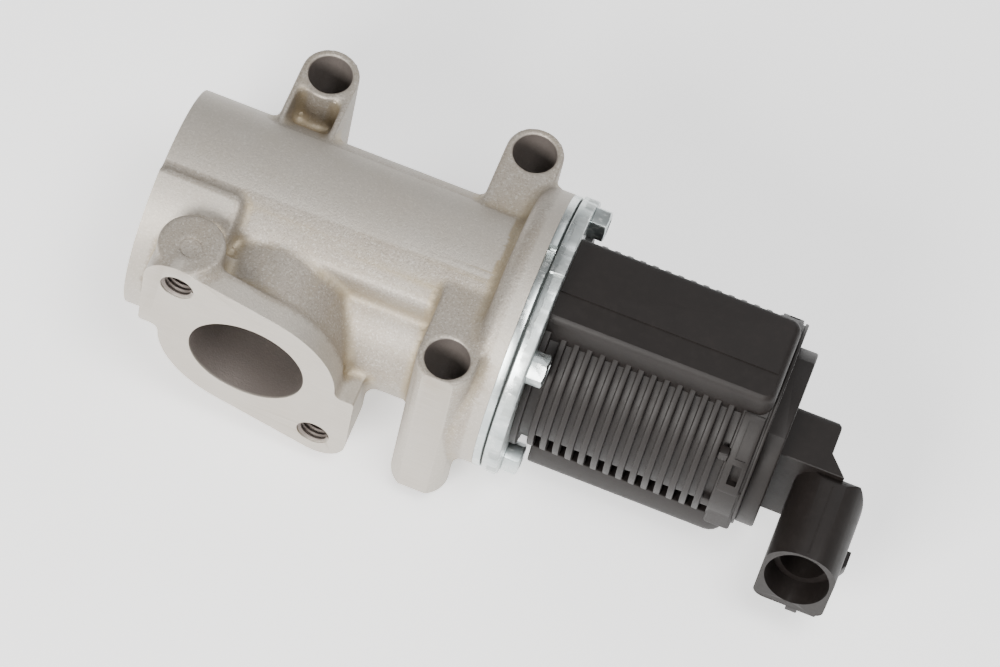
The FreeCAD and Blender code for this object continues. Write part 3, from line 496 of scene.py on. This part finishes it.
def makeCasting():
    shape = bmesh.new()
    shape.from_mesh(nodes["valve_housing"].data)
    bmesh.ops.remove_doubles(shape, verts=shape.verts, dist=0.002 * mm)
    spare = casting["spare"] * mm
    for vert in shape.verts:  # machined faces stand proud until they are cut back
        if abs(vert.co.y - casting["flangeFace"] * mm) < 1e-5:
            vert.co.y -= spare
        if abs(vert.co.x) < 1e-5:
            vert.co.x -= spare
        if abs(vert.co.x - casting["jointFace"] * mm) < 1e-5:
            vert.co.x += spare
        if abs(vert.co.z - casting["feet"] * mm) < 1e-5:
            vert.co.z -= spare
    body = loose("casting", shape)
    for growth in (casting["fillet"], -casting["fillet"]):  # out and back again, which fills inner corners
        skin = body.modifiers.new("skin", "REMESH")
        skin.mode = "VOXEL"
        skin.voxel_size = casting["voxel"] * mm
        grow = body.modifiers.new("grow", "DISPLACE")
        grow.strength = growth * mm
        grow.mid_level = 0.0
    ease = body.modifiers.new("ease", "SMOOTH")
    ease.factor = 0.5
    ease.iterations = casting["smoothing"]
    thin = body.modifiers.new("thin", "DECIMATE")
    thin.ratio = casting["keep"]
    bake(body)
    face, joint, feet = casting["flangeFace"], casting["jointFace"], casting["feet"]
    carved(body, [
        block((-50, -90, -90), (0, 90, 90)), block((joint, -90, -90), (140, 90, 90)),
        block((-90, -90, -90), (140, face, 90)),
    ])
    for left, front, right, back in (casting["rearFeet"], casting["frontFoot"]):
        carved(body, [block((left, front, -90), (right, back, feet))])
    carved(body, [rod("X", (0, 0, 0), casting["outletRadius"], -6.0, casting["outletDepth"], 160),
                  rod("X", (0, 0, 0), casting["seatRadius"], *casting["seatSpan"], 128)])
    for x, y, top in casting["bosses"]:
        carved(body, [rod("Z", (x, y, 0), casting["boreRadius"], feet - 3, top + 6, 72)])
    deep = face + casting["threadDepth"]
    radius, edge = casting["threadRadius"], casting["chamfer"]
    for x, z in casting["threads"]:
        carved(body, [rod("Y", (x, 0, z), radius, face - 6, deep, 64),
                      rod("Y", (x, 0, z), radius + edge, face - edge, face + edge, 64, radius - edge)])
    x, y, top = casting["mark"]
    outer = casting["markRadius"]
    ring = loose("mark", rod("Z", (x, y, 0), outer, top - casting["markDepth"], top + 2, 48))
    carved(ring, [rod("Z", (x, y, 0), outer - casting["markWidth"], top - 1, top + 3, 48)])
    combine(body, ring, "DIFFERENCE")
    wearOf(body)
    finish(body, "cast_metal", stands=["valve_housing"], angle=32.0)


makeCasting()

threadLook = {"pitch": 1.25, "depth": 0.68, "root": 0.46, "crest": 0.08, "turns": 7, "sidesPerTurn": 48,
              "start": -33.6}


def makeThread(name, x, z):  # a helical ridge on the wall of a threaded hole
    wall, tip = casting["threadRadius"] + 0.08, casting["threadRadius"] - threadLook["depth"]
    half, crest = threadLook["pitch"] * threadLook["root"], threadLook["crest"]
    shape = bmesh.new()
    y = threadLook["start"]
    corners = [(wall, y - half), (tip, y - crest), (tip, y + crest), (wall, y + half)]
    verts = [shape.verts.new(((x + r) * mm, place * mm, z * mm)) for r, place in corners]
    face = shape.faces.new(verts)
    steps = threadLook["turns"] * threadLook["sidesPerTurn"]
    bmesh.ops.spin(shape, geom=[face], cent=(x * mm, 0, z * mm), axis=(0, 1, 0),
                   dvec=(0, threadLook["pitch"] / threadLook["sidesPerTurn"] * mm, 0),
                   angle=2 * math.pi * threadLook["turns"], steps=steps, use_duplicate=False)
    ridge = loose(name, shape)
    finish(ridge, "cast_metal", angle=40.0)


for name, (x, z) in zip(("upperThread", "lowerThread"), casting["threads"]):
    makeThread(name, x, z)


# plates and screws of the joint

joint = {
    "face": 88.2, "shieldEnd": 90.1, "adapterStart": 90.6, "adapterEnd": 94.2,
    "shieldRadius": 33.1, "adapterRadius": 33.6, "notch": (3.75, 29.9), "notchRound": 0.5,
    "tab": (3.8, 34.05), "tabRound": 0.35, "bore": 13.0, "rodHole": 3.2, "sealRadius": 7.0, "sealDepth": 2.6,
    "screws": 20.8, "screwRadius": 2.5, "holeClearance": 0.2, "threadLength": 4.4,
    "headFlats": 7.0, "headHeight": 4.0, "headCrown": 1.1, "headDish": 0.45,
    "headTurns": (12.0, 41.0, 22.0, 5.0),
}


def fourWays():
    return [(side * joint["screws"], up * joint["screws"]) for side in (-1, 1) for up in (-1, 1)]


def screwHoles(start, end):
    radius = joint["screwRadius"] + joint["holeClearance"]
    return [rod("X", (0, y, z), radius, start - 1, end + 1, 32) for y, z in fourWays()]


def makeShield():
    start, end, outer, bore = joint["face"], joint["shieldEnd"], joint["shieldRadius"], joint["bore"]
    body = loose("heatShield", spun(rounded([(start, bore), (start, outer), (end, outer), (end, bore)],
                                            (0, 0.15, 0.3, 0))))
    half, floor = joint["notch"]

    def lowCorner(edge):
        return middleOf(edge).z < floor + 0.1 and abs(middleOf(edge).y) > half - 0.1

    carved(body, [softBlock((start - 1, -half, floor), (end + 1, half, outer + 3), joint["notchRound"], 2,
                            lowCorner)])
    carved(body, screwHoles(start, end))
    finish(body, "plated_steel", stands=["heat_shield_plate"])


def makeAdapter():
    start, end, outer = joint["adapterStart"], joint["adapterEnd"], joint["adapterRadius"]
    hole = joint["rodHole"]
    body = loose("adapterPlate", spun(rounded([(start, hole), (start, outer), (end, outer), (end, hole)],
                                              (0, 0.35, 0.45, 0))))
    half, top = joint["tab"]
    low, bend = outer - 2.5, joint["tabRound"]
    outline = rounded([(-half, low), (-half, top), (half, top), (half, low)], (0, bend, bend, 0))
    joined(body, [soften(prism(outline, "X", start, end), 0.25, 2, 60.0)])
    carved(body, [rod("X", (0, 0, 0), joint["sealRadius"], start - 1, start + joint["sealDepth"])])
    carved(body, screwHoles(start, end))
    finish(body, "plated_steel", stands=["adapter_plate"])


def screwShape(y, z, turn):
    start, height = joint["adapterEnd"], joint["headHeight"]
    corner = joint["headFlats"] / 2 / math.cos(math.radians(30))
    points = [(y + corner * math.cos(math.radians(60 * step + turn)),
               z + corner * math.sin(math.radians(60 * step + turn))) for step in range(6)]
    head = soften(prism(rounded(points, 0.35, 2), "X", start, start + height), 0.12, 1, 60.0)
    body = loose("head", head)
    half, top = joint["headFlats"] / 2, start + height
    crown, dish = top - joint["headCrown"], top - joint["headDish"]
    dome = spun([(start - 1, 0), (start - 1, corner + 2), (crown, corner + 1.2), (top - 0.25, half + 0.05),
                 (top, half - 0.55), (top, half - 1.3), (dish, half - 1.6), (dish, 0)], (y, z), 64)
    combine(body, loose("dome", dome), "INTERSECT")
    tip = joint["face"] - joint["threadLength"]
    joined(body, [rod("X", (0, y, z), joint["screwRadius"] - 0.02, tip, start + 0.5, 32)])
    return body


def makeScrews():
    heads = [screwShape(y, z, turn) for (y, z), turn in zip(fourWays(), joint["headTurns"])]
    shape = bmesh.new()
    for head in heads:
        shape.from_mesh(head.data)
        bpy.data.objects.remove(head)
    finish(loose("jointScrews", shape), "bright_steel", stands=["joint_screws"], angle=28.0)


makeShield()
makeAdapter()
makeScrews()


# springs, which on the real valve shorten as it opens; here each is a fixed copy of its part mesh

def makeSpring(name, node):
    shape = bmesh.new()
    shape.from_mesh(nodes[node].data)
    spring = loose(name, shape)
    settle(spring)
    dress(spring, "spring_steel")
    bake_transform(spring)
    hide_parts(node)
    print(name, "made,", len(spring.data.polygons), "faces")


makeSpring("returnSpring", "return_spring")
makeSpring("sensorSpring", "sensor_spring")


# plastic shell of the actuator

shell = {
    "start": 94.2, "end": 149.0, "bore": 21.6, "boreEnd": 142.0, "floor": 22.8, "crest": 24.4,
    "base": 25.5, "baseEnd": 95.8, "ringStart": 142.0, "grooveAt": 147.95, "groove": 0.5, "grooveWidth": 0.5,
    "ribWidth": 1.55, "ribPitch": 3.106, "firstRib": 98.95, "ribs": 14, "slotLow": -13.9, "slotHigh": -4.9,
    "boxHalf": 11.7, "boxLow": 3.3, "boxTop": 28.5, "boxEnd": 148.0, "boxRound": 3.0, "boxEdge": 2.2,
    "stepY": -4.1, "stepDepth": 0.25,
    "trayStart": 99.2, "trayEnd": 147.0, "trayHalf": 20.0, "trayTop": -14.0, "trayLow": -24.4,
    "trayRound": 4.0,
    "noseLow": -11.5, "noseTop": 6.0, "noseFront": -23.8, "noseRoot": 9.4, "noseEnd": 148.4, "noseRound": 0.7,
    "strap": (142.6, 147.6), "strapHeight": 0.5, "strapSpan": (12.0, 61.0),
    "window": (144.2, 146.5), "windowSpan": (8.0, 13.0), "windowDepth": 1.9,
    "panelSpan": (35.0, 57.0), "panelDepth": 0.25,
    "spigot": 16.7, "spigotZ": -4.5, "sealRadius": 17.8, "sealStart": 147.3, "scallop": 4.74,
    "nubs": (((140.3, -21.0, 12.6), (142.6, -18.6, 15.6)), ((140.3, -24.3, -3.4), (142.3, -22.4, -0.6))),
}


def cageProfile():
    points = [(shell["start"], 0), (shell["start"], shell["base"]), (shell["baseEnd"], shell["base"]),
              (shell["baseEnd"], shell["floor"])]
    bends = [0, 0.2, 0.3, 0.2]
    for number in range(shell["ribs"]):
        centre = shell["firstRib"] + number * shell["ribPitch"]
        low, high = centre - shell["ribWidth"] / 2, centre + shell["ribWidth"] / 2
        points += [(low, shell["floor"]), (low, shell["crest"]),
                   (high, shell["crest"]), (high, shell["floor"])]
        bends += [0.12, 0.3, 0.3, 0.12]
    deep = shell["crest"] - shell["groove"]
    first, last = shell["grooveAt"] - shell["grooveWidth"] / 2, shell["grooveAt"] + shell["grooveWidth"] / 2
    points += [(shell["ringStart"], shell["floor"]), (shell["ringStart"], shell["crest"]),
               (first, shell["crest"]), (first, deep), (last, deep), (last, shell["crest"]),
               (shell["end"], shell["crest"]), (shell["end"], 0)]
    bends += [0.15, 0.35, 0.15, 0.1, 0.1, 0.2, 0.3, 0]
    return rounded(points, bends, 3)


def boxShape():
    half, top, end = shell["boxHalf"], shell["boxTop"], shell["boxEnd"]

    def upright(edge):
        return middleOf(edge).x > end - 0.1 and 1 < middleOf(edge).z < top - 1

    def upper(edge):
        return middleOf(edge).z > top - 0.1 and middleOf(edge).x > shell["start"] + 0.1

    low = (shell["start"] + 0.05, -half, shell["boxLow"])
    body = softBlock(low, (end, half, top), shell["boxRound"], 6, upright)
    return soften(body, shell["boxEdge"], 4, 30.0, upper)


def trayShape():
    half, low, end = shell["trayHalf"], shell["trayLow"], shell["trayEnd"]

    def outer(edge):
        x, z = middleOf(edge).x, middleOf(edge).z
        outward = z < low + 0.1 or x > end - 0.1
        return outward and x > shell["trayStart"] + 0.1 and z < shell["trayTop"] - 0.1

    body = block((shell["trayStart"], -half, low), (end, half, shell["trayTop"]))
    body = soften(body, shell["trayRound"], 5, 30.0, outer)
    return soften(body, 0.3, 2, 60.0)


def noseShape(side):
    near, far = shell["noseRoot"] * side, -shell["noseFront"] * side

    def outer(edge):
        return abs(middleOf(edge).y) > abs(near) + 0.1

    low = (shell["ringStart"] + 0.2, min(near, far), shell["noseLow"])
    high = (shell["noseEnd"], max(near, far), shell["noseTop"])
    return softBlock(low, high, shell["noseRound"], 3, outer)


def arcBand(side, outer, inner, span, ends):  # a band round the axis between two radii
    first, last = span
    outline = arcPoints(outer, first, last) + arcPoints(inner, last, first)
    return prism([(y * -side, z) for y, z in outline], "X", *ends)


def strapShape(side):
    radius = shell["crest"] + shell["strapHeight"]
    band = arcBand(side, radius, shell["crest"] - 2.0, shell["strapSpan"], shell["strap"])
    return soften(band, 0.25, 2, 60.0)


def windowShape(side):
    radius = shell["crest"] + shell["strapHeight"]
    span = [math.degrees(math.asin(z / radius)) for z in shell["windowSpan"]]
    return arcBand(side, radius + 2, radius - shell["windowDepth"], span, shell["window"])


def panelShape(side):  # shallow hollow along the strap above its window
    start, end = shell["window"]
    radius = shell["crest"] + shell["strapHeight"]
    return arcBand(side, radius + 2, radius - shell["panelDepth"], shell["panelSpan"], (start, end + 0.2))


def makeShell():
    body = loose("actuatorShell", spun(cageProfile(), sides=160))
    joined(body, [boxShape(), trayShape(), noseShape(-1), noseShape(1), strapShape(-1), strapShape(1)])
    cuts = [block((shell["start"] - 1, -shell["boxHalf"] - 1, shell["boxTop"] - shell["stepDepth"]),
                  (shell["boxEnd"] + 1, shell["stepY"], shell["boxTop"] + 1)),
            rod("X", (0, 0, 0), shell["bore"], shell["start"] - 1, shell["boreEnd"], 128),
            rod("X", (0, 0, shell["spigotZ"]), shell["spigot"], shell["boreEnd"] - 0.5, shell["end"] + 1, 96),
            rod("X", (0, 0, shell["spigotZ"]), shell["sealRadius"], shell["sealStart"], shell["end"] + 1, 96)]
    for number in range(shell["ribs"] - 1):
        start = shell["firstRib"] + number * shell["ribPitch"] + shell["ribWidth"] / 2
        cuts.append(block((start, -30, shell["slotLow"]),
                          (start + shell["ribPitch"] - shell["ribWidth"], 30, shell["slotHigh"])))
    for y, z in fourWays():
        cuts.append(rod("X", (0, y, z), shell["scallop"], shell["start"] - 1,
                        shell["start"] + joint["headHeight"] + 1, 48))
    cuts += [windowShape(-1), windowShape(1), panelShape(-1), panelShape(1)]
    carved(body, cuts)
    joined(body, [softBlock(low, high, 0.3) for low, high in shell["nubs"]])
    finish(body, "black_plastic", stands=["actuator_housing"], angle=30.0)


makeShell()


# end cap and connector

cap = {
    "start": 149.0, "end": 153.4, "radius": 21.3, "centreZ": -4.5, "flatZ": 14.0, "edge": 0.5,
    "spigot": 16.6, "spigotLength": 4.6, "spigotWall": 1.8, "guide": 3.2, "guideOut": 1.4, "guideBore": 1.54,
    "blockEnd": 164.4, "front": -10.4, "rear": 3.7, "low": -19.2, "top": 6.8, "blockRound": 2.4,
    "braceReach": 4.5, "braceRun": 5.1,
    "shellX": 166.95, "shellHalf": 8.5, "shellLow": -18.6, "shellTop": 6.2, "mouth": -32.6, "back": -8.6,
    "topRound": 8.0, "lowRound": 3.0, "backRound": 5.0,
    "oval": (7.6, 10.95), "ovalZ": -5.45, "ledge": 1.9, "ledgeDepth": 6.0, "depth": 19.0, "mouthRound": 0.22,
    "snap": (1.0, 5.8, 5.4, 1.8, 4.0),  # stand-out, from the mouth, length, ramp, height
    "keyEnd": 2.8, "keyDrop": 1.9, "keyLength": 4.0, "shoulderEnd": 7.1, "shoulderDrop": 0.5,
    "seamWidth": 0.35, "seamHeight": 0.07, "seamEnds": (0.6, 4.5),
}


def ovalOutline(inset, count=72):
    wide, tall = cap["oval"][0] - inset, cap["oval"][1] - inset
    return [(cap["shellX"] + wide * math.cos(2 * math.pi * i / count),
             cap["ovalZ"] + tall * math.sin(2 * math.pi * i / count)) for i in range(count)]


def shellOutline(left, right, low, top):
    corners = [(left, low), (right, low), (right, top), (left, top)]
    return rounded(corners, (cap["lowRound"], cap["lowRound"], cap["topRound"], cap["topRound"]), 14)


def makeSocketShell():
    low, top, mouth, back = cap["shellLow"], cap["shellTop"], cap["mouth"], cap["back"]
    left, right = cap["shellX"] - cap["shellHalf"], cap["shellX"] + cap["shellHalf"]
    body = loose("socketShell", prism(shellOutline(left, right, low, top), "Y", mouth, back))

    def backRight(edge):
        return middleOf(edge).y > back - 0.1 and middleOf(edge).x > right - 0.1

    def backTop(edge):
        return middleOf(edge).y > back - 0.1 and middleOf(edge).z > top - 0.1

    plan = softBlock((left - 1, mouth - 9, low - 9), (right, back, top + 9), cap["backRound"], 8, backRight)
    combine(body, loose("plan", plan), "INTERSECT")
    side = softBlock((left - 9, mouth - 9, low - 9), (right + 9, back, top), cap["backRound"], 8, backTop)
    combine(body, loose("side", side), "INTERSECT")
    out, near, length, ramp, height = cap["snap"]
    start = mouth + near
    outline = [(right - 1, start), (right, start), (right + out, start + ramp), (right + out, start + length),
               (right - 1, start + length)]
    middle = (low + top) / 2
    snap = soften(prism(outline, "Z", middle - height / 2, middle + height / 2), 0.2, 2, 20.0)
    x, keyEnd, deep = cap["shellX"], cap["keyEnd"], mouth + cap["keyLength"]
    key = softBlock((x, mouth, low - cap["keyDrop"]), (x + keyEnd, deep, low + 0.5), 0.25, 2)
    shoulder = softBlock((x + keyEnd - 0.1, mouth, low - cap["shoulderDrop"]),
                         (x + cap["shoulderEnd"], deep, low + 0.5), 0.2, 2)
    fromMouth, fromBack = cap["seamEnds"]
    seam = softBlock((x, mouth + fromMouth, top - 0.5),
                     (x + cap["seamWidth"], back - fromBack, top + cap["seamHeight"]), 0.06, 1)
    joined(body, [snap, key, shoulder, seam])
    return body


def makeCap():
    start, end, radius, mouth = cap["start"], cap["end"], cap["radius"], cap["mouth"]

    def flatRim(edge):
        return middleOf(edge).x > end - 0.1 and middleOf(edge).z > cap["flatZ"] - 0.1

    def rearCorner(edge):
        return middleOf(edge).y > cap["rear"] - 0.1 and middleOf(edge).x > end + 0.1

    def atMouth(edge):
        return max(vert.co.y for vert in edge.verts) < (mouth + 0.01) * mm

    disc = spun(rounded([(start, 0), (start, radius), (end, radius), (end, 0)], (0, 0.2, cap["edge"], 0), 4),
                (0.0, cap["centreZ"]), 160)
    body = loose("endCap", disc)
    flat = softBlock((start - 5, -40, -40), (end, 40, cap["flatZ"]), cap["edge"], 3, flatRim)
    combine(body, loose("flat", flat), "INTERSECT")
    spigot = spun([(start - cap["spigotLength"], cap["spigot"] - cap["spigotWall"]),
                   (start - cap["spigotLength"], cap["spigot"]), (start + 0.5, cap["spigot"]),
                   (start + 0.5, cap["spigot"] - cap["spigotWall"])], (0.0, cap["centreZ"]), 96)
    guide = rod("X", (0, 0, 0), cap["guide"], start - cap["guideOut"], start + 1.0, 48)
    base = softBlock((end - 0.5, cap["front"], cap["low"]), (cap["blockEnd"], cap["rear"], cap["top"]),
                     cap["blockRound"], 6, rearCorner)
    base = soften(base, 0.15, 1, 60.0)
    root = cap["blockEnd"] - cap["blockRound"]
    outline = [(root, cap["front"]), (cap["blockEnd"] + cap["braceReach"], cap["front"]),
               (cap["blockEnd"], cap["front"] + cap["braceRun"]), (root, cap["front"] + cap["braceRun"])]
    brace = soften(prism(outline, "Z", cap["low"], cap["top"]), 0.15, 1, 20.0)
    joined(body, [spigot, guide, base, brace])
    combine(body, makeSocketShell(), "UNION")
    carved(body, [prism(ovalOutline(cap["ledge"]), "Y", mouth - 1, mouth + cap["depth"]),
                  prism(ovalOutline(0), "Y", mouth - 1, mouth + cap["ledgeDepth"]),
                  rod("X", (0, 0, 0), cap["guideBore"], start - 3, start + 1.4, 32)])
    shape = bmesh.new()
    shape.from_mesh(body.data)
    soften(shape, cap["mouthRound"], 2, 50.0, atMouth)
    bpy.data.objects.remove(body)
    finish(loose("endCap", shape), "black_plastic", stands=["end_cap"], angle=30.0)


makeCap()


# floor, lights and camera

floorSetup = {"drop": -33.95, "centre": 90.0, "size": 6.0, "shade": (0.95, 0.95, 0.95), "glow": 0.85}


def makeFloor():
    shape = bmesh.new()
    bmesh.ops.create_grid(shape, x_segments=1, y_segments=1, size=floorSetup["size"] / 2,
                          matrix=Matrix.Translation((floorSetup["centre"] * mm, 0, floorSetup["drop"] * mm)))
    floor = loose("floor", shape)
    made = Finish("paleFloor")
    shade = floorSetup["shade"]
    floor.data.materials.append(made.put(Base_Color=shade, Roughness=0.9, Emission_Color=shade,
                                         Emission_Strength=floorSetup["glow"]))


makeFloor()

lightSetup = {
    "world": (1.0, 0.3),
    "panels": [  # place, aim, size, power, colour
        ((-0.15, -0.85, 0.5), (0.07, 0, 0), 0.4, 15.0, (1.0, 0.985, 0.96)),
        ((0.35, -0.25, 1.0), (0.09, 0, 0), 0.45, 9.0, (1.0, 1.0, 1.0)),
        ((0.3, 0.8, 0.6), (0.09, 0, 0), 0.6, 2.0, (0.97, 0.98, 1.0)),
    ],
}


def makeLights():
    world = bpy.data.worlds.new("studio")
    world.use_nodes = True
    shade, strength = lightSetup["world"]
    back = world.node_tree.nodes["Background"]
    back.inputs["Color"].default_value = (shade, shade, shade, 1.0)
    back.inputs["Strength"].default_value = strength
    bpy.context.scene.world = world
    for number, (place, aim, size, power, colour) in enumerate(lightSetup["panels"]):
        data = bpy.data.lights.new("panel%d" % number, "AREA")
        data.shape = "SQUARE"
        data.size = size
        data.energy = power
        data.color = colour
        lamp = bpy.data.objects.new("panel%d" % number, data)
        lamp.location = place
        lamp.rotation_euler = (Vector(aim) - Vector(place)).to_track_quat("-Z", "Y").to_euler()
        bpy.context.scene.collection.objects.link(lamp)


makeLights()

cameraSetup = {"place": (0.14881, -0.53385, 0.90082), "turn": (29.808, -7.615, 20.047), "lens": 164.16,
               "sensor": 36.0, "clip": (0.01, 20.0)}


def makeCamera():
    data = bpy.data.cameras.new("camera")
    data.sensor_width = cameraSetup["sensor"]
    data.lens = cameraSetup["lens"]
    data.clip_start, data.clip_end = cameraSetup["clip"]
    camera = bpy.data.objects.new("camera", data)
    camera.location = cameraSetup["place"]
    camera.rotation_euler = Euler([math.radians(part) for part in cameraSetup["turn"]], "XYZ")
    bpy.context.scene.collection.objects.link(camera)
    bpy.context.scene.camera = camera


makeCamera()
print("stage set")
